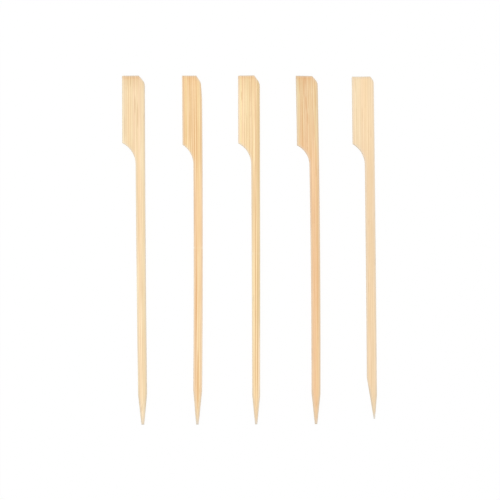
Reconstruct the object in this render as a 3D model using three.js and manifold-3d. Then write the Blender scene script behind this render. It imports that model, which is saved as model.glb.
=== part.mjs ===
// Five bamboo paddle picks for finger food, laid side by side on a table.
//
// Each pick is one flat piece of split bamboo. It has a paddle head to hold, a slim stem for the
// food and a ground point. All are sawn to one drawing from one thickness of strip, and each
// comes out a little different.
//
// Units are millimetres and +Z is up. +X runs along the row and +Y runs from the points to the
// heads. The origin is on the table, at the middle of the row's outline.
//
// A pick is drawn in its own frame. Its back edge is the line x = 0 and its head end is y = 0, so
// the head reaches to x = -headWidth and the point ends at y = -length.

import * as THREE from "three";
import { mergeVertices } from "three/addons/utils/BufferGeometryUtils.js";
import Module from "manifold-3d";

const wasm = await Module();
wasm.setup();

// Sizes that are alike on every pick
const STRIP_THICKNESS = 3.0;
const EDGE_ROUND = 0.2; // tumbling rounds every sawn edge
const CUT_CORNER_ROUND = 4.0; // radius where the cut corner runs into the back edge
const SQUARE_CORNER_ROUND = 0.4; // radius of the head's other corner
const TIP_THICKNESS = 0.9; // what grinding leaves at the end of the point
const FACE_TAPER = 10.5; // how far up the point the two broad faces are ground
const SHAVE_LENGTH = 10.0; // how far a split at the head end runs down the back edge

// The drawing that every pick is sawn to
const DRAWN = {
  length: 150.0,
  headWidth: 9.4,
  cornerAcross: 2.4, // the cut corner, across the pick
  cornerAlong: 3.0, // the cut corner, along the pick
  neckFromEnd: 38.3, // from the head end to where the shoulder's arc meets the stem
  shoulderRadius: 10.3,
  neckWidth: 3.9, // width of the stem at the neck
  lowWidth: 3.8, // width of the stem where the point starts
  frontTaper: 12.5, // length of the point along its front edge
  backTaper: 12.5, // length of the point along its back edge
  tipWidth: 1.1,
  gap: 15.5, // clear space between this head and the one before it
};

// The picks from left to right.
// leanDeg: how far the pick is turned, with its head to the left
// drop: how far its head end lies below the highest one in the row
// bow: how far its middle bends to the right
// tipOffset: how far its tip lies to the right of the stem's middle
// endSlant: how much further the head's square corner reaches than its cut corner
// shaveDepth: the sliver that split off its back edge at the head end
// differs: what its sizes have more or less than the drawing
const PICKS = [
  {
    name: "pick_1",
    colour: "#f7dbb3",
    leanDeg: 0.43,
    drop: 0.1,
    bow: -0.2,
    tipOffset: -0.05,
    endSlant: 0,
    shaveDepth: 0,
    differs: {
      headWidth: 0.3,
      cornerAcross: 0.12,
      neckFromEnd: -0.1,
      neckWidth: 0.12,
      lowWidth: -0.02,
      frontTaper: 0.4,
      backTaper: 0.7,
      tipWidth: 0.1,
    },
  },
  {
    name: "pick_2",
    colour: "#f4d09e",
    leanDeg: 0,
    drop: 0.1,
    bow: 0.42,
    tipOffset: 0,
    endSlant: 0,
    shaveDepth: 0.55,
    differs: {
      headWidth: -0.85,
      cornerAcross: -0.6,
      neckWidth: 0.05,
      lowWidth: 0.02,
      frontTaper: 2.6,
      backTaper: 1.9,
      gap: 0.47,
    },
  },
  {
    name: "pick_3",
    colour: "#f5d5a8",
    leanDeg: 0.03,
    drop: 0,
    bow: 0.1,
    tipOffset: 0.05,
    endSlant: -0.1,
    shaveDepth: 0,
    differs: {
      cornerAlong: 0.4,
      neckWidth: -0.05,
      lowWidth: -0.4,
      backTaper: -0.4,
      tipWidth: -0.1,
      gap: 0.05,
    },
  },
  {
    name: "pick_4",
    colour: "#eecc9f",
    leanDeg: 0.45,
    drop: 0.3,
    bow: 0.5,
    tipOffset: 0.1,
    endSlant: 0.2,
    shaveDepth: 0,
    differs: {
      length: -0.4,
      headWidth: -0.07,
      cornerAcross: -0.1,
      cornerAlong: -0.3,
      neckFromEnd: -0.1,
      shoulderRadius: -0.8,
      neckWidth: 0.2,
      lowWidth: -0.05,
      frontTaper: 1.0,
      backTaper: 0.6,
      gap: -0.07,
    },
  },
  {
    name: "pick_5",
    colour: "#f5dab3",
    leanDeg: 0.58,
    drop: 0.5,
    bow: 0.1,
    tipOffset: 0.95,
    endSlant: 0,
    shaveDepth: 0,
    differs: {
      length: -2.9,
      headWidth: -0.05,
      cornerAcross: -0.9,
      cornerAlong: -1.0,
      neckFromEnd: -0.4,
      neckWidth: 0.25,
      lowWidth: 0.35,
      frontTaper: 5.2,
      backTaper: -2.4,
      tipWidth: -0.55,
      gap: -0.75,
    },
  },
];

// Fineness of the mesh
const RUN_STEPS = 10; // points along a long edge, so that it can bow
const SHOULDER_STEPS = 14;
const CORNER_STEPS = 4;
const EDGE_STEPS = 2;
const WALL_SHARE = 0.4; // a rounding takes at most this share of the wall that it is on
const WELD = 1e-5; // corners closer than this are one corner

// Bare sanded bamboo
const FINISH = { roughness: 0.65, metalness: 0 };

// One pick as sawn: its place and its faults, and the drawing's sizes with its differences added
function asSawn(pick) {
  const sawn = { ...DRAWN, ...pick };
  for (const [size, extra] of Object.entries(pick.differs)) sawn[size] += extra;
  return sawn;
}

// The back edge's place at a distance from the head end, with the sliver gone
function backEdgeAt(pick, fromEnd) {
  return -pick.shaveDepth * Math.max(1 - fromEnd / SHAVE_LENGTH, 0);
}

// The sawn corner of the head, rounded where it runs into the back edge
function cutCorner(pick) {
  const low = new THREE.Vector2(backEdgeAt(pick, pick.cornerAlong), -pick.cornerAlong);
  const high = new THREE.Vector2(backEdgeAt(pick, 0) - pick.cornerAcross, 0);
  const cut = low.distanceTo(high);
  const turn = Math.atan2(pick.cornerAcross, pick.cornerAlong);
  const reach = Math.min(CUT_CORNER_ROUND * Math.tan(turn / 2), cut * WALL_SHARE);
  const start = new THREE.Vector2(backEdgeAt(pick, pick.cornerAlong + reach), low.y - reach);
  const end = low.clone().lerp(high, reach / cut);
  const bend = new THREE.QuadraticBezierCurve(start, low, end);
  return [...bend.getPoints(CORNER_STEPS), high];
}

// The head's square corner, with its small round
function squareCorner(pick) {
  const round = Math.min(
    SQUARE_CORNER_ROUND,
    (pick.headWidth - pick.cornerAcross) * WALL_SHARE,
  );
  const corner = new THREE.Vector2(-pick.headWidth, pick.endSlant);
  const start = new THREE.Vector2(corner.x + round, corner.y);
  const end = new THREE.Vector2(corner.x, corner.y - round);
  return new THREE.QuadraticBezierCurve(start, corner, end).getPoints(CORNER_STEPS);
}

// The hollow arc that a round cutter leaves between the head and the stem, from the head down
function shoulder(pick) {
  const radius = pick.shoulderRadius;
  const step = Math.max(pick.headWidth - pick.neckWidth, 0);
  const neck = -pick.neckFromEnd;
  const sweep = Math.acos(1 - Math.min(step / radius, 1));
  const points = [];
  if (step > radius) points.push(new THREE.Vector2(-pick.headWidth, neck + radius));
  for (let i = 0; i <= SHOULDER_STEPS; i++) {
    const angle = sweep * (1 - i / SHOULDER_STEPS);
    const x = -pick.neckWidth - radius * (1 - Math.cos(angle));
    points.push(new THREE.Vector2(x, neck + radius * Math.sin(angle)));
  }
  return points;
}

// Points inside a straight run between two ends, so that the run can bow
function runBetween(start, end) {
  const points = [];
  for (let i = 1; i < RUN_STEPS; i++) points.push(start.clone().lerp(end, i / RUN_STEPS));
  return points;
}

// How far the bow moves a point: nothing at both ends and the full bow halfway
function bowAt(pick, fromEnd) {
  const along = fromEnd / pick.length;
  return 4 * pick.bow * along * (1 - along);
}

// The pick seen from above, anticlockwise from the tip
function outline(pick) {
  const tip = -pick.lowWidth / 2 + pick.tipOffset;
  const tipBack = new THREE.Vector2(tip + pick.tipWidth / 2, -pick.length);
  const tipFront = new THREE.Vector2(tip - pick.tipWidth / 2, -pick.length);
  const stemBack = new THREE.Vector2(0, pick.backTaper - pick.length);
  const stemFront = new THREE.Vector2(-pick.lowWidth, pick.frontTaper - pick.length);
  const corner = cutCorner(pick);
  const shaveEnd = new THREE.Vector2(0, Math.min(-SHAVE_LENGTH, corner[0].y - EDGE_ROUND));
  const shoulderArc = shoulder(pick);
  const neck = shoulderArc.at(-1);
  const straight = [
    tipBack,
    stemBack,
    ...runBetween(stemBack, shaveEnd),
    shaveEnd,
    ...corner,
    ...squareCorner(pick),
    ...shoulderArc,
    ...runBetween(neck, stemFront),
    stemFront,
    tipFront,
  ];
  return straight.map((point) => new THREE.Vector2(point.x + bowAt(pick, -point.y), point.y));
}

// A closed geometry as a solid that can be cut
function solidOf(geometry) {
  const bare = geometry.clone();
  bare.deleteAttribute("normal");
  bare.deleteAttribute("uv");
  const merged = mergeVertices(bare, WELD);
  return new wasm.Manifold(
    new wasm.Mesh({
      numProp: 3,
      vertProperties: merged.attributes.position.array,
      triVerts: new Uint32Array(merged.index.array),
    }),
  );
}

// A solid as a geometry that can be drawn
function geometryOf(solid) {
  const mesh = solid.getMesh();
  const geometry = new THREE.BufferGeometry();
  geometry.setAttribute("position", new THREE.BufferAttribute(mesh.vertProperties, 3));
  geometry.setIndex(new THREE.BufferAttribute(mesh.triVerts, 1));
  const flat = geometry.toNonIndexed();
  flat.computeVertexNormals();
  return flat;
}

// The sawn blank: the outline at the strip's thickness, with its edges rounded
function blank(pick) {
  const round = Math.min(
    EDGE_ROUND,
    pick.tipWidth * WALL_SHARE,
    STRIP_THICKNESS * WALL_SHARE,
  );
  const geometry = new THREE.ExtrudeGeometry(new THREE.Shape(outline(pick)), {
    depth: STRIP_THICKNESS - 2 * round,
    bevelThickness: round,
    bevelSize: round,
    bevelOffset: -round,
    bevelSegments: EDGE_STEPS,
  });
  return geometry.translate(0, 0, round);
}

// The block that grinding takes off one broad face at the point. The side is 1 for the upper
// face and -1 for the lower one.
function pointGrind(pick, side) {
  const depth = (STRIP_THICKNESS - Math.min(TIP_THICKNESS, STRIP_THICKNESS)) / 2;
  const slope = Math.atan2(depth, FACE_TAPER);
  const size = 2 * (FACE_TAPER + pick.headWidth);
  const block = new THREE.BoxGeometry(size, size, size);
  block.translate(0, -size / 2, (side * size) / 2);
  block.rotateX(side * slope);
  const face = side > 0 ? STRIP_THICKNESS : 0;
  return block.translate(-pick.lowWidth / 2, FACE_TAPER - pick.length, face);
}

// One pick as a closed geometry
function pickGeometry(pick) {
  const ground = solidOf(blank(pick))
    .subtract(solidOf(pointGrind(pick, 1)))
    .subtract(solidOf(pointGrind(pick, -1)));
  return geometryOf(ground);
}

// The row: each head starts one gap beyond the back edge of the head before it
const row = new THREE.Group();
let backEdge = 0;
for (const pick of PICKS.map(asSawn)) {
  const material = new THREE.MeshStandardMaterial({ color: pick.colour, ...FINISH });
  const mesh = new THREE.Mesh(pickGeometry(pick), material);
  backEdge += pick.gap + pick.headWidth;
  mesh.name = pick.name;
  mesh.position.set(backEdge, -pick.drop, 0);
  mesh.rotation.z = THREE.MathUtils.degToRad(pick.leanDeg);
  row.add(mesh);
}

// The origin is at the middle of the row's outline
const middle = new THREE.Box3().setFromObject(row, true).getCenter(new THREE.Vector3());
row.position.set(-middle.x, -middle.y, 0);

const picks = new THREE.Group();
picks.add(row);

export default picks;
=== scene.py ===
"""Five bamboo paddle picks for finger food, dressed around their packed solids.

Each solid is cut into fine strips along the fibres, and its surface is then split, sawn, milled
and ground as the real ones are. One bamboo material with five sets of tones colours them.
"""

import math
import random

import bmesh
import bpy
from mathutils import Matrix, Vector, kdtree, noise


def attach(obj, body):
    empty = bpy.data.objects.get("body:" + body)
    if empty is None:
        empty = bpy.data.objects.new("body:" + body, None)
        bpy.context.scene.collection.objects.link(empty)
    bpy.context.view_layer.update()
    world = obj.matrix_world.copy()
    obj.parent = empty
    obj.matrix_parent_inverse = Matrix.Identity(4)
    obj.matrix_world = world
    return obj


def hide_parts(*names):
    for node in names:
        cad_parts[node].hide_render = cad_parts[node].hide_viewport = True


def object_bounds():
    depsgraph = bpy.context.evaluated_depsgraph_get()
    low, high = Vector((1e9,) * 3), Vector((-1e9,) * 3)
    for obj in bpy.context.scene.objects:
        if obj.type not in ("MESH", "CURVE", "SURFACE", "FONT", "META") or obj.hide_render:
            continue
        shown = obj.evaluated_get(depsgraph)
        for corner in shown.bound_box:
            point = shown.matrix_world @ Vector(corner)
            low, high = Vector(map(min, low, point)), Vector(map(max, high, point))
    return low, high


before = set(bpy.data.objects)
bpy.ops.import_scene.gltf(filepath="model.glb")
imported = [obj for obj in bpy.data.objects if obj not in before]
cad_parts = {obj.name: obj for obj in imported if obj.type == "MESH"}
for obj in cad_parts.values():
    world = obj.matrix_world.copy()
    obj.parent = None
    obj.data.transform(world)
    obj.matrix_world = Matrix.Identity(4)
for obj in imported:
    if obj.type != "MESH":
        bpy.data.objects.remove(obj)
CAD_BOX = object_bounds()

bl_info = {
    "name": "Bamboo paddle picks",
    "version": (1, 0, 0),
    "blender": (4, 5, 0),
    "location": "3D View > Sidebar > Picks",
    "description": "Makes five bamboo picks for finger food and the table that they lie on",
    "category": "Object",
}

MM = 0.001
WELD = 1e-6  # corners closer than this are one corner
SLIVER = 0.03 * MM  # and after the cuts, corners closer than this
FLAT = math.radians(0.02)  # faces that meet at less than this are one face
WALL = 0.5  # a corner whose normal rises less than this is on a side wall
BACK_PART = 1.8  # millimetres across: the back edge is on this side of it, on head and stem
GRIND_START = 12  # millimetres before the tip: here the grit's scores start
GRIND_FADE = 4  # millimetres until they are at their deepest
NODE_REACH = 1.4  # millimetres: about half the width of the ring that a joint leaves
CHIP_START = 42  # millimetres from the head end: the chips are below the hollow shoulder
CHIP_END = 25  # millimetres before the tip: and above the point
CHIP_RUN = (1.2, 3.5)  # millimetres: half the length of the shortest and the longest chip
CHIP_SHARE = (0.4, 1)  # how much of the chip reach the smallest and the largest chip take
MARK_LEVEL = 3  # millimetres up: the marks are in the upper face
MARK_DEPTH = 4  # millimetres: a mark has faded out this far below it
TABLE_REACH = 4  # metres from the middle of the table to its edges
TABLE_GAP = 0.02 * MM  # the table is this far under the picks
ACROSS = Vector((-1, 0, 0))  # from the back edge to the front edge
ALONG = Vector((0, -1, 0))  # from the head end to the tip
THROUGH = Vector((0, 0, 1))  # from the lower face to the upper one


# Colours

def linear(code):
    """Turns an sRGB hex value into linear red, green and blue."""
    shares = [int(code[i:i + 2], 16) / 255 for i in (1, 3, 5)]
    return [s / 12.92 if s <= 0.04045 else ((s + 0.055) / 1.055) ** 2.4 for s in shares]


END_GRAIN = linear("#CDB38A")
END_BUNDLE = linear("#A07F56")
# Partly the rounded edges' wear, partly painted shade: a greyer rim along the outline, deepest
# on the back edge
RIM_SHADE_AND_WEAR = linear("#E0D7CA")
FLECK = linear("#AD7A42")
SCORCH = linear("#EFA964")
GROUND = linear("#E0CDB0")
# Painted shade along the edges of the ground point
POINT_EDGE_SHADE = linear("#CBB28C")
GREY_TIP = linear("#DAD4CA")
NODE_RING = linear("#FBE9CB")
PAPER = (0.97, 0.97, 0.97, 1)
WHITE = (1, 1, 1, 1)


# What each pick has of its own. Lengths are in millimetres and the lean is in degrees.
# cane: how far across the cane it was split out, which says where its fibre bundles are
# marks: dark streaks, each with its place across the pick, its start and end along it, its
# width and its strength

# Each pick's grey back edge is painted shade of its back wall
PICKS = {
    "pick_1": {
        "title": "Cream pick",
        "slot": "cream_bamboo",
        "cane": 115.43,
        "lean": 0.43,
        "bow": -0.2,
        "cell": "#FEE7BF",
        "low_cell": "#FFEAC1",
        "fibre": "#C9A06A",
        "band": "#F3CFA3",
        "skin": "#DCC79F",
        "streaks": 0.3,
        "low_streaks": 0.3,
        "change_at": 32,
        "hue": 0.025,
        "bands": 0.2,
        "stain": 0.25,
        "stain_length": 9,
        "skin_width": 1.0,
        "skin_share": 0.3,
        "skin_end": 150,
        "back_grey": 0.8,
        "tip_grey": 0.3,
        "node": 0,
        "marks": (
            (6.0, -5, 7, 0.32, 0.55),
            (7.3, -4, 6, 0.3, 0.3),
            (4.2, 7, 18, 0.3, 0.55),
            (3.0, 10, 24, 0.3, 0.5),
            (8.6, 13, 32, 0.4, 0.4),
            (0.3, 16, 20, 0.4, 0.4),
        ),
    },
    "pick_2": {
        "title": "Honey pick",
        "slot": "honey_bamboo",
        "cane": 152.43,
        "lean": 0,
        "bow": 0.42,
        "cell": "#FBE3B4",
        "low_cell": "#FCE2B8",
        "fibre": "#CE8E42",
        "band": "#F3C794",
        "skin": "#D8B070",
        "streaks": 0.48,
        "low_streaks": 0.3,
        "change_at": 45,
        "hue": 0.025,
        "bands": 0.2,
        "stain": 0.1,
        "stain_length": 6,
        "skin_width": 0.9,
        "skin_share": 0.2,
        "skin_end": 42,
        "back_grey": 0.1,
        "tip_grey": 0.6,
        "node": 74,
        "marks": (
            (6.9, 8, 34, 0.28, 0.45),
            (5.4, 12, 34, 0.3, 0.5),
            (0.6, 10, 34, 0.5, 0.35),
            (2.8, 50, 150, 0.35, 0.6),
            (1.9, 114, 147, 0.55, 0.4),
            (3.4, 38, 74, 0.5, 0.4),
        ),
    },
    "pick_3": {
        "title": "Straw pick",
        "slot": "straw_bamboo",
        "cane": 146.65,
        "lean": 0.03,
        "bow": 0.1,
        "cell": "#FEE6BA",
        "low_cell": "#FDE5B6",
        "fibre": "#CB995B",
        "band": "#F7D2A3",
        "skin": "#D9BD85",
        "streaks": 0.38,
        "low_streaks": 0.22,
        "change_at": 60,
        "hue": 0.025,
        "bands": 0.3,
        "stain": 0.2,
        "stain_length": 11,
        "skin_width": 1.3,
        "skin_share": 0.5,
        "skin_end": 110,
        "back_grey": 0,
        "tip_grey": 0.55,
        "node": 76.6,
        "marks": (
            (7.8, 6, 12, 0.3, 0.4),
            (5.6, 14, 30, 0.28, 0.5),
            (4.3, 0, 14, 0.45, 0.3),
            (1.75, 5, 45, 0.28, 0.45),
            (0.65, -10, 60, 0.35, 0.6),
            (1.07, 50, 156, 0.3, 0.65),
            (2.0, 30, 156, 0.3, 0.55),
            (3.2, 38, 72, 0.45, 0.25),
        ),
    },
    "pick_4": {
        "title": "Tan pick",
        "slot": "tan_bamboo",
        "cane": 240.69,
        "lean": 0.45,
        "bow": 0.5,
        "cell": "#EDD9AD",
        "low_cell": "#F2D0A3",
        "fibre": "#CC8C4C",
        "band": "#F0C598",
        "skin": "#D2B47C",
        "streaks": 0.35,
        "low_streaks": 0.22,
        "change_at": 30,
        "hue": 0.015,
        "bands": 0.28,
        "stain": 0.2,
        "stain_length": 8,
        "skin_width": 0.8,
        "skin_share": 0.2,
        "skin_end": 150,
        "back_grey": 0.1,
        "tip_grey": 0.35,
        "node": 0,
        "marks": (
            (7.9, -1, 9, 0.26, 0.4),
            (6.2, -1, 11, 0.24, 0.4),
            (5.4, -4, 5, 0.3, 0.4),
            (5.2, 7.5, 16, 0.26, 0.6),
            (4.2, 4, 15.5, 0.22, 0.4),
            (4.5, 15, 22, 0.24, 0.4),
            (2.6, 8, 16, 0.24, 0.35),
            (1.9, 14, 29, 0.26, 0.3),
            (1.0, 4, 16, 0.35, 0.3),
            (1.0, 30, 130, 0.4, 0.3),
            (3.5, 36, 74, 0.5, 0.35),
        ),
    },
    "pick_5": {
        "title": "Ivory pick",
        "slot": "ivory_bamboo",
        "cane": 263.43,
        "lean": 0.58,
        "bow": 0.1,
        "cell": "#F8E0BB",
        "low_cell": "#F0D6B3",
        "fibre": "#CFA871",
        "band": "#F8D8AC",
        "skin": "#DFCBA2",
        "streaks": 0.2,
        "low_streaks": 0.16,
        "change_at": 32,
        "hue": 0.018,
        "bands": 0.3,
        "stain": 0,
        "stain_length": 5,
        "skin_width": 2.4,
        "skin_share": 0.12,
        "skin_end": 150,
        "back_grey": 0.1,
        "tip_grey": 1,
        "node": 0,
        "marks": (
            (7.9, -2, 8, 0.28, 0.3),
            (5.1, 12, 21, 0.28, 0.35),
        ),
    },
}


# Settings

def pick_settings(own):
    """Makes the settings class of one pick, with that pick's own defaults."""
    colours = (
        ("cell", "Ground tissue", "Colour between the fibre bundles, near the head"),
        ("low_cell", "Low ground tissue", "Colour between the fibre bundles, near the point"),
        ("fibre", "Fibre bundles", "Colour of the bundles that run the whole length"),
        ("band", "Bands", "Colour of the broad soft bands"),
        ("skin", "Skin side", "Colour near the back edge, which was next to the skin"),
    )
    sizes = (
        ("bow", "Bow", "How far its middle bends to the right"),
        ("node", "Node", "How far from the head end a joint of the cane crosses it, or 0"),
        ("skin_width", "Skin width", "How far the skin side's colour reaches"),
        ("stain_length", "Stain length", "How far the head end is stained"),
        ("change_at", "Change", "How far from the head end the low part's tone starts"),
        ("skin_end", "Skin end", "How far from the head end the skin side's colour ends"),
    )
    shares = (
        ("streaks", "Streaks", "How strongly the fibre bundles show"),
        ("low_streaks", "Low streaks", "How strongly they show in the low part"),
        ("hue", "Hue", "How much the hue differs from strand to strand"),
        ("stain", "Stain", "How strongly the head end is stained"),
        ("bands", "Band strength", "How strongly the broad bands show"),
        ("skin_share", "Skin strength", "How strongly the skin side shows"),
        ("back_grey", "Grey back edge", "How grey the rim of the back edge is"),
        ("tip_grey", "Grey tip", "How grey the last of the point is"),
    )
    made = {
        "lean": bpy.props.FloatProperty(
            name="Lean",
            description="How far the pick is turned, with its head to the left",
            default=math.radians(own["lean"]),
            subtype="ANGLE",
        ),
    }
    for key, name, description in sizes:
        made[key] = bpy.props.FloatProperty(
            name=name,
            description=description,
            default=own[key] * MM,
            precision=5,
            unit="LENGTH",
        )
    for key, name, description in colours:
        made[key] = bpy.props.FloatVectorProperty(
            name=name,
            description=description,
            default=linear(own[key]),
            min=0,
            max=1,
            subtype="COLOR",
        )
    for key, name, description in shares:
        made[key] = bpy.props.FloatProperty(
            name=name,
            description=description,
            default=own[key],
            min=0,
            max=1,
            subtype="FACTOR",
        )
    members = {"__doc__": own["title"], "__annotations__": made}
    return type(own["title"].replace(" ", ""), (bpy.types.PropertyGroup,), members)


PICK_CLASSES = {name: pick_settings(own) for name, own in PICKS.items()}


class SurfaceSettings(bpy.types.PropertyGroup):
    """How the bamboo was split, sawn and ground"""

    strip_across: bpy.props.FloatProperty(
        name="Strip across",
        description="Width of the mesh's strips",
        default=0.13 * MM,
        precision=6,
        unit="LENGTH",
    )
    strip_along: bpy.props.FloatProperty(
        name="Strip along",
        description="Length of the mesh's strips",
        default=0.75 * MM,
        precision=6,
        unit="LENGTH",
    )
    strip_through: bpy.props.FloatProperty(
        name="Strip through",
        description="Height of the strips on the side walls",
        default=0.25 * MM,
        precision=6,
        unit="LENGTH",
    )
    fibre_depth: bpy.props.FloatProperty(
        name="Fibre depth",
        description="How far the tissue between the fibre bundles was worn down",
        default=0.03 * MM,
        precision=6,
        unit="LENGTH",
    )
    saw_depth: bpy.props.FloatProperty(
        name="Saw depth",
        description="How deep the saw and the cutter tore the cut ends of the fibres",
        default=0.055 * MM,
        precision=6,
        unit="LENGTH",
    )
    grind_depth: bpy.props.FloatProperty(
        name="Grind depth",
        description="How deep the grit scored the point",
        default=0.04 * MM,
        precision=6,
        unit="LENGTH",
    )
    chip_reach: bpy.props.FloatProperty(
        name="Chip reach",
        description="How far the chips in the long edges reach onto both faces",
        default=0.36 * MM,
        precision=6,
        unit="LENGTH",
    )
    chips: bpy.props.IntProperty(
        name="Chips",
        description="How many chips the long edges of each pick have",
        default=9,
        min=0,
    )


class StageSettings(bpy.types.PropertyGroup):
    """The camera and the light"""

    lens: bpy.props.FloatProperty(
        name="Lens",
        description="Focal length in millimetres",
        default=200,
        min=1,
    )
    shown: bpy.props.FloatProperty(
        name="Shown width",
        description="Width of table in the picture, at the height of the picks' middle",
        default=214.9 * MM,
        unit="LENGTH",
    )
    aside: bpy.props.FloatProperty(
        name="Aside",
        description="How far the camera stands to the right of the row's middle",
        default=0.215 * MM,
        precision=5,
        unit="LENGTH",
    )
    sky: bpy.props.FloatProperty(
        name="Sky",
        description="Strength of the even light from all around",
        default=0.62,
        min=0,
    )
    lamp_power: bpy.props.FloatProperty(
        name="Lamp power",
        description="Power of the soft lamp",
        default=7.7,
        unit="POWER",
    )
    lamp_size: bpy.props.FloatProperty(
        name="Lamp size",
        description="Side of the soft lamp",
        default=1.0,
        unit="LENGTH",
    )
    shadow: bpy.props.FloatProperty(
        name="Shadow",
        description="How strongly the white table shows the picks' shadows",
        default=0.06,
        min=0,
        max=1,
        subtype="FACTOR",
    )


class PicksSettings(bpy.types.PropertyGroup):
    """Everything that can be changed"""

    surface: bpy.props.PointerProperty(name="Surface", type=SurfaceSettings)
    stage: bpy.props.PointerProperty(name="Stage", type=StageSettings)
    __annotations__.update(
        {
            name: bpy.props.PointerProperty(name=PICKS[name]["title"], type=made)
            for name, made in PICK_CLASSES.items()
        }
    )


# Nodes

def add_node(tree, kind, inputs=None, **settings):
    """Adds one node. An input is a value, another node's first output or one of its outputs."""
    made = tree.nodes.new(kind)
    for key, value in settings.items():
        setattr(made, key, value)
    for key, value in (inputs or {}).items():
        if isinstance(value, bpy.types.Node):
            tree.links.new(value.outputs[0], made.inputs[key])
        elif isinstance(value, bpy.types.NodeSocket):
            tree.links.new(value, made.inputs[key])
        else:
            made.inputs[key].default_value = value
    return made


def add_patterns(tree, name, grain, number):
    """Adds the patterns of the cane, and returns them by name.

    Each pick comes from another part of the cane, and its fibres wander a little. The offset's
    height puts a row of bundles just under both broad faces.
    """
    offset = (PICKS[name]["cane"], 1000.0 * number + 100.0, 13.0 * number + 0.15)
    cane = add_node(tree, "ShaderNodeVectorMath", {0: grain, 1: offset}, operation="ADD")
    slow = add_node(
        tree, "ShaderNodeVectorMath", {0: cane, 1: (0.1, 0.02, 0.1)}, operation="MULTIPLY"
    )
    drift = add_node(tree, "ShaderNodeTexNoise", {"Vector": slow, "Scale": 1, "Detail": 1})
    lines = add_node(
        tree,
        "ShaderNodeVectorMath",
        {0: drift.outputs["Color"], 1: (0.2, 0, 0.15), 2: cane},
        operation="MULTIPLY_ADD",
    )

    # Each has a width, a length and a height in millimetres
    patterns = {}
    for key, width, run, height, kind in (
        ("bundle", 0.88, 1000, 1.0, "ShaderNodeTexVoronoi"),
        ("dot", 0.42, 1000, 0.42, "ShaderNodeTexVoronoi"),
        ("fade", 0.88, 100, 1.0, "ShaderNodeTexNoise"),
        ("hair", 0.45, 65, 0.45, "ShaderNodeTexNoise"),
        ("thread", 0.2, 24, 0.2, "ShaderNodeTexNoise"),
        ("band", 2.2, 110, 2.2, "ShaderNodeTexNoise"),
        ("fleck", 0.45, 8, 0.45, "ShaderNodeTexNoise"),
        ("cloud", 5.0, 34, 5.0, "ShaderNodeTexNoise"),
    ):
        scale = (1 / width, 1 / run, 1 / height)
        at = add_node(
            tree, "ShaderNodeVectorMath", {0: lines, 1: scale}, operation="MULTIPLY"
        )
        patterns[key] = add_node(tree, kind, {"Vector": at, "Scale": 1})

    # How unevenly the bundles are spread, as lines and as dots
    patterns["bundle"].inputs["Randomness"].default_value = 0.35
    patterns["dot"].inputs["Randomness"].default_value = 0.6
    return patterns


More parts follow.
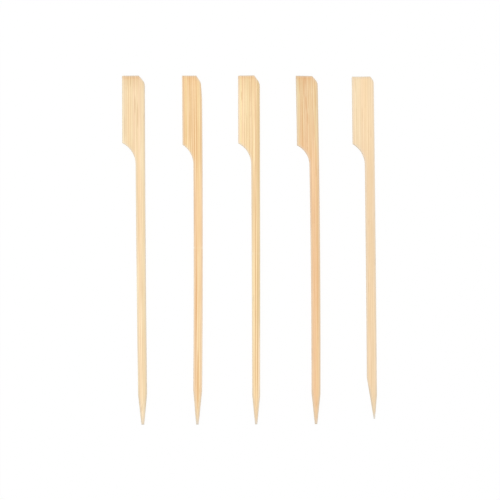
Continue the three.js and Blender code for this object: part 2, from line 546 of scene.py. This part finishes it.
def add_shares(tree, look, length, grain, patterns):
    """Adds how much of each tone there is, and returns these shares by name."""
    facing = add_node(tree, "ShaderNodeAttribute", attribute_name="facing").outputs["Vector"]
    rim = add_node(tree, "ShaderNodeAttribute", attribute_name="rim").outputs["Fac"]
    place = add_node(tree, "ShaderNodeSeparateXYZ", {0: grain})
    side = add_node(tree, "ShaderNodeSeparateXYZ", {0: facing})
    across, along = place.outputs["X"], place.outputs["Y"]
    flat = add_node(tree, "ShaderNodeMath", {0: side.outputs["Z"]}, operation="ABSOLUTE")
    sawn = add_node(tree, "ShaderNodeMath", {0: side.outputs["Y"]}, operation="ABSOLUTE")
    from_node = add_node(
        tree, "ShaderNodeMath", {0: along, 1: look.node / MM}, operation="SUBTRACT"
    )
    from_node = add_node(tree, "ShaderNodeMath", {0: from_node}, operation="ABSOLUTE")
    bundle = patterns["bundle"].outputs
    change = look.change_at / MM
    skin = look.skin_width / MM

    # What each share follows, that value's range and the share's own range
    shares = {}
    for key, value, low, high, bottom, top in (
        # Head and low part
        ("low", along, change - 12, change + 12, 0, 1),
        ("strength", along, change - 8, change + 8, look.streaks, look.low_streaks),
        # Fibre bundles, of which no two are equally dark, and finer fibres between them
        ("line", bundle["Distance"], 0.36, 0.2, 0, 1),
        ("own", bundle["Color"], 0, 1, 0.6, 1),
        ("fade", patterns["fade"], 0.3, 0.5, 0.5, 1),
        ("hairs", patterns["hair"], 0.53, 0.63, 0, 0.75),
        ("threads", patterns["thread"], 0.47, 0.57, 0, 0.24),
        ("dots", patterns["dot"].outputs["Distance"], 0.42, 0.16, 0, 0.75),
        ("sparse", patterns["fade"], 0.3, 0.6, 0.5, 1),
        # Soft bands, clouds and small flecks
        ("bands", patterns["band"], 0.42, 0.6, 0, look.bands),
        ("clouds", patterns["cloud"], 0.4, 0.65, 0, 0.3),
        ("flecks", patterns["fleck"], 0.68, 0.76, 0, 0.3),
        # Stain and scorch at the head end, and the skin side
        ("stain", along, look.stain_length / MM, 0, 0, look.stain),
        ("scorch", along, 2.4, 0.8, 0, 1.1 * look.stain),
        ("skin", across, skin + 0.2, skin - 0.2, 0, look.skin_share),
        ("reach", along, look.skin_end / MM + 10, look.skin_end / MM - 10, 0, 1),
        ("end", along, 1.8, 0.2, 0, 0.2),
        # The pale ring of a joint, strongest at both edges
        ("node", from_node, 0.8, 0.2, 0, 0.5 if look.node else 0),
        ("notch", rim, 0.8, 0.2, 0.1, 1),
        # Side walls, ground point and sawn ends, painted shade on the point's edges, and a rim
        # on the rounded edges that is partly their wear and partly painted shade
        ("walls", flat, 0.6, 0.1, 0, 0.15),
        ("point", along, length - 14, length - 4, 0, 0.15),
        # Painted shade on the point's edges, near the outline
        ("worn", along, length - 18, length - 12, 0, 0.45),
        ("beside", rim, 0.9, 0.25, 0, 1),
        ("tip", along, length - 3.5, length - 0.3, 0, look.tip_grey),
        ("ends", sawn, 0.3, 0.85, 0, 0.9),
        ("round", flat, 0.1, 0.5, 0, 1),
        ("near", rim, 1.2, 0.1, 0, 1),
        # The rim's painted shade, deeper on the back edge and on the sawn ends
        ("grey", side, 0.1, 0.6, 0.35, 0.35 + 0.65 * look.back_grey),
        ("sawn_rim", side.outputs["Y"], 0.1, 0.5, 0, 0.8),
    ):
        shares[key] = add_node(
            tree,
            "ShaderNodeMapRange",
            {
                "Value": value,
                "From Min": low,
                "From Max": high,
                "To Min": bottom,
                "To Max": top,
            },
            interpolation_type="SMOOTHSTEP",
        )

    # Shares that weaken or strengthen each other
    for key, first, second, operation in (
        ("bundles", "line", "own", "MULTIPLY"),
        ("bundles", "bundles", "fade", "MULTIPLY"),
        ("bundles", "bundles", "strength", "MULTIPLY"),
        ("hairs", "hairs", "strength", "MULTIPLY"),
        ("dots", "dots", "sparse", "MULTIPLY"),
        ("skin", "skin", "reach", "MULTIPLY"),
        # The point's painted edge shade stays near the outline
        ("worn", "worn", "beside", "MULTIPLY"),
        ("ticks", "line", "end", "MULTIPLY"),
        ("node", "node", "notch", "MULTIPLY"),
        ("grey", "grey", "sawn_rim", "MAXIMUM"),
        # The rim along the rounded edges: wear and painted shade
        ("edge", "near", "round", "MULTIPLY"),
        ("edge", "edge", "grey", "MULTIPLY"),
    ):
        shares[key] = add_node(
            tree, "ShaderNodeMath", {0: shares[first], 1: shares[second]}, operation=operation
        )
    return shares


def add_streaks(tree, name, grain, bundles):
    """Adds the dark streaks of one pick to the share of its fibre bundles."""
    for across, start, end, width, share in PICKS[name]["marks"]:
        spot = add_node(
            tree,
            "ShaderNodeMapping",
            {
                "Vector": grain,
                "Location": (across, (start + end) / 2, MARK_LEVEL),
                "Scale": (width, (end - start) / 2, MARK_DEPTH),
            },
            vector_type="TEXTURE",
        )
        glow = add_node(tree, "ShaderNodeTexGradient", {0: spot}, gradient_type="SPHERICAL")
        streak = add_node(
            tree,
            "ShaderNodeMapRange",
            {"Value": glow.outputs["Fac"], "From Min": 0, "From Max": 0.5, "To Max": share},
            interpolation_type="SMOOTHSTEP",
        )
        bundles = add_node(
            tree, "ShaderNodeMath", {0: bundles, 1: streak}, operation="MAXIMUM"
        )
    return bundles


def sanded_bamboo(name, look, length, number):
    """Split and sanded bamboo, bare.

    The eye sees pale ground tissue with thin darker fibre bundles that run the whole length. On
    the sawn ends bundles are dots. It is a dull satin: no coat, and only the bundles have a
    little gloss. Real bundles are 0.3 to 0.5 mm apart, as the dots are here. The lines are
    0.88 mm apart, which is as fine as they can be and still show in the picture.
    """
    material = bpy.data.materials.new(f"sanded_{PICKS[name]['slot']}")
    material.use_nodes = True
    tree = material.node_tree
    tree.nodes.clear()
    grain = add_node(tree, "ShaderNodeAttribute", attribute_name="grain").outputs["Vector"]
    patterns = add_patterns(tree, name, grain, number)
    shares = add_shares(tree, look, length, grain, patterns)
    shares["bundles"] = add_streaks(tree, name, grain, shares["bundles"])
    shares["hue"] = look.hue
    dots = add_node(
        tree,
        "ShaderNodeMix",
        {0: shares["dots"], 6: (*END_GRAIN, 1), 7: (*END_BUNDLE, 1)},
        data_type="RGBA",
    )

    # The tones, from the ground tissue up
    tone = (*look.cell, 1)
    for key, colour in (
        ("low", (*look.low_cell, 1)),
        ("hue", patterns["bundle"].outputs["Color"]),
        ("bands", (*look.band, 1)),
        ("clouds", (*look.band, 1)),
        ("stain", (*look.fibre, 1)),
        ("scorch", (*SCORCH, 1)),
        ("bundles", (*look.fibre, 1)),
        ("hairs", (*look.fibre, 1)),
        ("threads", (*look.fibre, 1)),
        ("node", (*NODE_RING, 1)),
        ("flecks", (*FLECK, 1)),
        ("ticks", (*END_BUNDLE, 1)),
        ("walls", (*look.fibre, 1)),
        ("point", (*GROUND, 1)),
        # Painted shade on the point's edges
        ("worn", (*POINT_EDGE_SHADE, 1)),
        ("ends", dots.outputs[2]),
        ("tip", (*GREY_TIP, 1)),
        # The rim: worn tone and painted shade
        ("edge", (*RIM_SHADE_AND_WEAR, 1)),
        ("skin", (*look.skin, 1)),
    ):
        mixed = add_node(
            tree,
            "ShaderNodeMix",
            {0: shares[key], 6: tone, 7: colour},
            data_type="RGBA",
            blend_type="LINEAR_LIGHT" if key == "hue" else "MIX",
        )
        tone = mixed.outputs[2]

    relief = add_node(
        tree, "ShaderNodeMath", {0: shares["bundles"], 1: shares["hairs"]}, operation="ADD"
    )
    relief = add_node(
        tree, "ShaderNodeMath", {0: relief, 1: shares["threads"]}, operation="ADD"
    )
    bump = add_node(
        tree, "ShaderNodeBump", {"Height": relief, "Strength": 0.5, "Distance": 0.04 * MM}
    )
    gloss = add_node(
        tree, "ShaderNodeMapRange", {"Value": relief, "To Min": 0.66, "To Max": 0.5}
    )
    shader = add_node(
        tree,
        "ShaderNodeBsdfPrincipled",
        {
            "Base Color": tone,
            "Roughness": gloss,
            "IOR": 1.5,
            "Specular IOR Level": 0.35,
            "Normal": bump,
        },
    )
    add_node(tree, "ShaderNodeOutputMaterial", {"Surface": shader})
    return material


# Shaping

def bow_at(look, along, length):
    """How far the bow moves a place along the pick: a parabola, and nothing at both ends."""
    share = along / length
    return 4 * look.bow * share * (1 - share)


def straighten(bm, look):
    """Lays a pick with its back edge on x = 0 and its head end on y = 0, without its bow."""
    bmesh.ops.rotate(bm, verts=bm.verts, matrix=Matrix.Rotation(-look.lean, 3, "Z"))
    end = max(vert.co.y for vert in bm.verts)
    length = end - min(vert.co.y for vert in bm.verts)
    for vert in bm.verts:
        vert.co.x -= bow_at(look, end - vert.co.y, length)
    corner = Vector((max(vert.co.x for vert in bm.verts), end, 0))
    bmesh.ops.translate(bm, verts=bm.verts, vec=-corner)
    return corner, length


def lay_back(bm, look, corner, length):
    """Bends and turns a straightened pick back to where its solid is."""
    for vert in bm.verts:
        vert.co.x += bow_at(look, -vert.co.y, length)
    bmesh.ops.translate(bm, verts=bm.verts, vec=corner)
    bmesh.ops.rotate(bm, verts=bm.verts, matrix=Matrix.Rotation(look.lean, 3, "Z"))


def cut_strips(bm, direction, step):
    """Cuts all faces with parallel planes, one step apart."""
    reach = max(vert.co.dot(direction) for vert in bm.verts)
    place = min(vert.co.dot(direction) for vert in bm.verts) + step
    ahead = bm.verts[:] + bm.edges[:] + bm.faces[:]
    while place < reach - step / 4:
        cut = bmesh.ops.bisect_plane(
            bm, geom=ahead, dist=WELD, plane_co=direction * place, plane_no=direction
        )
        faces = [
            part
            for part in cut["geom"]
            if isinstance(part, bmesh.types.BMFace)
            and max(vert.co.dot(direction) for vert in part.verts) > place + WELD
        ]
        parts = (part for face in faces for part in (*face.verts, *face.edges, face))
        ahead = list(dict.fromkeys(parts))
        place += step


def note_surface(bm):
    """Writes down where each point of the surface lies in the cane, for shape and material.

    grain is the distance across, along and through in millimetres, facing is the direction that
    the surface has in the pick's own frame, and rim is the distance from the sawn outline.
    """
    bm.normal_update()
    grain = bm.verts.layers.float_vector.new("grain")
    facing = bm.verts.layers.float_vector.new("facing")
    rim = bm.verts.layers.float.new("rim")
    walls = [vert for vert in bm.verts if abs(vert.normal.z) < WALL]
    tree = kdtree.KDTree(len(walls))
    for index, vert in enumerate(walls):
        tree.insert((vert.co.x, vert.co.y, 0), index)
    tree.balance()
    for vert in bm.verts:
        vert[grain] = Vector((-vert.co.x, -vert.co.y, vert.co.z)) / MM
        vert[facing] = vert.normal
        vert[rim] = tree.find((vert.co.x, vert.co.y, 0))[2] / MM
    return grain, facing, rim


def noise_at(at, width, run, shift):
    """Noise from -1 to 1 at a place in the cane, in streaks of this many mm across and along."""
    return noise.noise(Vector((at.x / width, at.y / run, at.z / width)) + shift)


def roughen(bm, look, surface, layers, length, number):
    """Wears, tears and scores the surface inwards, so that the pick stays inside its solid."""
    grain, facing = layers
    shift = Vector((41.0 * number, 0, 0))
    for vert in bm.verts:
        at = vert[grain]
        normal = vert[facing]

        # Tissue worn down between the fibres
        fibre = noise_at(at, 0.5, 40, shift)
        hair = noise_at(at, 0.25, 9, shift)
        depth = surface.fibre_depth * (0.5 + 0.35 * fibre + 0.15 * hair)

        # Fibres torn by the saw and the cutter, where they were cut across
        cut = min(abs(normal.y) * 1.3, 1)
        torn = noise_at(at, 0.3, 0.9, shift)
        depth += surface.saw_depth * cut * (0.5 + 0.5 * torn)

        # Scores of the grit on the point
        ground = min(max((at.y - length / MM + GRIND_START) / GRIND_FADE, 0), 1)
        score = noise_at(at, 1.5, 0.8, shift)
        depth += surface.grind_depth * ground * (0.5 + 0.5 * score)

        # A joint of the cane stands out a little
        if look.node:
            from_node = (at.y - look.node / MM) / NODE_REACH
            depth += surface.fibre_depth * (1 - math.exp(-from_node * from_node))
        vert.co -= normal * depth


def chip(bm, surface, layers, length, number):
    """Splits small flat chips off the stem's long edges."""
    grain, rim = layers
    chance = random.Random(number)
    height = max(vert[grain].z for vert in bm.verts)
    most = surface.chip_reach / MM
    edges = [
        vert
        for vert in bm.verts
        if vert[rim] + min(vert[grain].z, height - vert[grain].z) < most
    ]
    for _ in range(surface.chips):
        front = chance.random() < 0.5
        upper = chance.random() < 0.5
        along = chance.uniform(CHIP_START, length / MM - CHIP_END)
        run = chance.uniform(*CHIP_RUN)
        reach = chance.uniform(*CHIP_SHARE) * most
        for vert in edges:
            at = vert[grain]
            off = (at.y - along) / run
            if abs(off) > 1 or (at.x > BACK_PART) != front:
                continue
            from_face = height - at.z if upper else at.z
            move = (reach * (1 - off * off) - vert[rim] - from_face) / 2 * MM
            if move > 0:
                vert.co += Vector((move if front else -move, 0, -move if upper else move))


# Operators

class MakePick(bpy.types.Operator):
    """Makes one pick from its solid, in fine strips, roughened and coloured"""

    bl_idname = "party_picks.make_pick"
    bl_label = "Make a pick"

    which: bpy.props.EnumProperty(
        name="Pick",
        description="The pick to make",
        items=[(name, own["title"], own["title"]) for name, own in PICKS.items()],
    )

    def execute(self, context):
        settings = context.scene.party_picks
        look = getattr(settings, self.which)
        surface = settings.surface
        number = list(PICKS).index(self.which) + 1
        bm = bmesh.new()
        bm.from_mesh(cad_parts[self.which].data)
        bmesh.ops.remove_doubles(bm, verts=bm.verts, dist=WELD)
        seams = [edge for edge in bm.edges if edge.calc_face_angle(math.pi) < FLAT]
        bmesh.ops.dissolve_edges(bm, edges=seams, use_verts=False)
        corner, length = straighten(bm, look)
        cut_strips(bm, ALONG, surface.strip_along)
        cut_strips(bm, THROUGH, surface.strip_through)
        cut_strips(bm, ACROSS, surface.strip_across)
        bmesh.ops.remove_doubles(bm, verts=bm.verts, dist=SLIVER)
        bmesh.ops.dissolve_degenerate(bm, dist=SLIVER, edges=bm.edges)
        grain, facing, rim = note_surface(bm)
        roughen(bm, look, surface, (grain, facing), length, number)
        chip(bm, surface, (grain, rim), length, number)
        lay_back(bm, look, corner, length)
        mesh = bpy.data.meshes.new(f"bamboo_{self.which}")
        bm.to_mesh(mesh)
        bm.free()
        mesh.shade_smooth()
        mesh.materials.append(sanded_bamboo(self.which, look, length / MM, number))
        pick = bpy.data.objects.new(f"bamboo_{self.which}", mesh)
        context.scene.collection.objects.link(pick)
        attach(pick, self.which)
        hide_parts(self.which)
        return {"FINISHED"}


class SetStage(bpy.types.Operator):
    """Lays the white table and sets the camera and the light"""

    bl_idname = "party_picks.set_stage"
    bl_label = "Set the stage"

    def execute(self, context):
        scene = context.scene
        stage = scene.party_picks.stage
        low, high = CAD_BOX

        # The table
        bm = bmesh.new()
        bmesh.ops.create_grid(bm, x_segments=1, y_segments=1, size=TABLE_REACH)
        bmesh.ops.translate(bm, verts=bm.verts, vec=(0, 0, low.z - TABLE_GAP))
        mesh = bpy.data.meshes.new("table_top")
        bm.to_mesh(mesh)
        bm.free()
        table = bpy.data.objects.new("table_top", mesh)
        scene.collection.objects.link(table)
        mesh.materials.append(white_table(stage))

        # The camera looks straight down
        camera = bpy.data.objects.new("camera", bpy.data.cameras.new("camera"))
        scene.collection.objects.link(camera)
        camera.data.lens = stage.lens
        distance = stage.shown * camera.data.lens / camera.data.sensor_width
        camera.location = (stage.aside, 0, (low.z + high.z) / 2 + distance)
        scene.camera = camera

        # One broad lamp over the upper left, and an even sky
        lamp = bpy.data.lights.new("lamp", "AREA")
        lamp.energy = stage.lamp_power
        lamp.size = stage.lamp_size
        lamp_at = Vector((-0.1, 0.15, 1.2))
        lamp_body = bpy.data.objects.new("lamp", lamp)
        lamp_body.location = lamp_at
        lamp_body.rotation_euler = lamp_at.to_track_quat("Z", "Y").to_euler()
        scene.collection.objects.link(lamp_body)
        light_sky(scene, stage)
        scene.view_settings.view_transform = "Standard"
        return {"FINISHED"}


def seen_directly(tree):
    """1 for what the camera sees, also in gloss or through glass, and 0 for light on things."""
    path = add_node(tree, "ShaderNodeLightPath")
    seen = path.outputs["Is Camera Ray"]
    for ray in ("Is Glossy Ray", "Is Transmission Ray"):
        seen = add_node(
            tree, "ShaderNodeMath", {0: seen, 1: path.outputs[ray]}, operation="MAXIMUM"
        )
    return seen


def white_table(stage):
    """Matt white paper: pure white to the camera, with a faint shadow."""
    material = bpy.data.materials.new("white_paper")
    material.use_nodes = True
    tree = material.node_tree
    tree.nodes.clear()
    glow = add_node(
        tree,
        "ShaderNodeMath",
        {0: seen_directly(tree), 1: 1 - stage.shadow},
        operation="MULTIPLY",
    )
    paper = add_node(tree, "ShaderNodeBsdfDiffuse", {"Color": PAPER})
    white = add_node(tree, "ShaderNodeEmission", {"Color": WHITE, "Strength": 1})
    both = add_node(tree, "ShaderNodeMixShader", {0: glow, 1: paper, 2: white})
    add_node(tree, "ShaderNodeOutputMaterial", {"Surface": both})
    return material


def light_sky(scene, stage):
    """An even white sky, which is pure white where it is seen."""
    world = bpy.data.worlds.new("sky")
    world.use_nodes = True
    scene.world = world
    tree = world.node_tree
    tree.nodes.clear()
    strength = add_node(
        tree,
        "ShaderNodeMapRange",
        {"Value": seen_directly(tree), "To Min": stage.sky, "To Max": 1},
    )
    sky = add_node(tree, "ShaderNodeBackground", {"Color": WHITE, "Strength": strength})
    add_node(tree, "ShaderNodeOutputWorld", {"Surface": sky})


class PicksPanel(bpy.types.Panel):
    """Lists the operators and the settings"""

    bl_idname = "VIEW3D_PT_party_picks"
    bl_label = "Bamboo picks"
    bl_space_type = "VIEW_3D"
    bl_region_type = "UI"
    bl_category = "Picks"

    def draw(self, context):
        settings = context.scene.party_picks
        self.layout.operator_menu_enum(MakePick.bl_idname, "which")
        self.layout.operator(SetStage.bl_idname)
        groups = [settings.surface, settings.stage]
        groups += [getattr(settings, name) for name in PICKS]
        for group in groups:
            box = self.layout.box()
            box.label(text=group.__doc__)
            for key in group.__annotations__:
                box.prop(group, key)


CLASSES = (
    *PICK_CLASSES.values(),
    SurfaceSettings,
    StageSettings,
    PicksSettings,
    MakePick,
    SetStage,
    PicksPanel,
)


def register():
    """Adds the settings, the operators and the panel to Blender."""
    for made in CLASSES:
        bpy.utils.register_class(made)
    bpy.types.Scene.party_picks = bpy.props.PointerProperty(type=PicksSettings)


def unregister():
    """Takes them out again."""
    del bpy.types.Scene.party_picks
    for made in reversed(CLASSES):
        bpy.utils.unregister_class(made)


def main():
    """Makes the five picks and the stage, and writes down both boxes."""
    register()
    for name in PICKS:
        bpy.ops.party_picks.make_pick(which=name)
    bpy.ops.party_picks.set_stage()


if __name__ == "__main__":
    main()
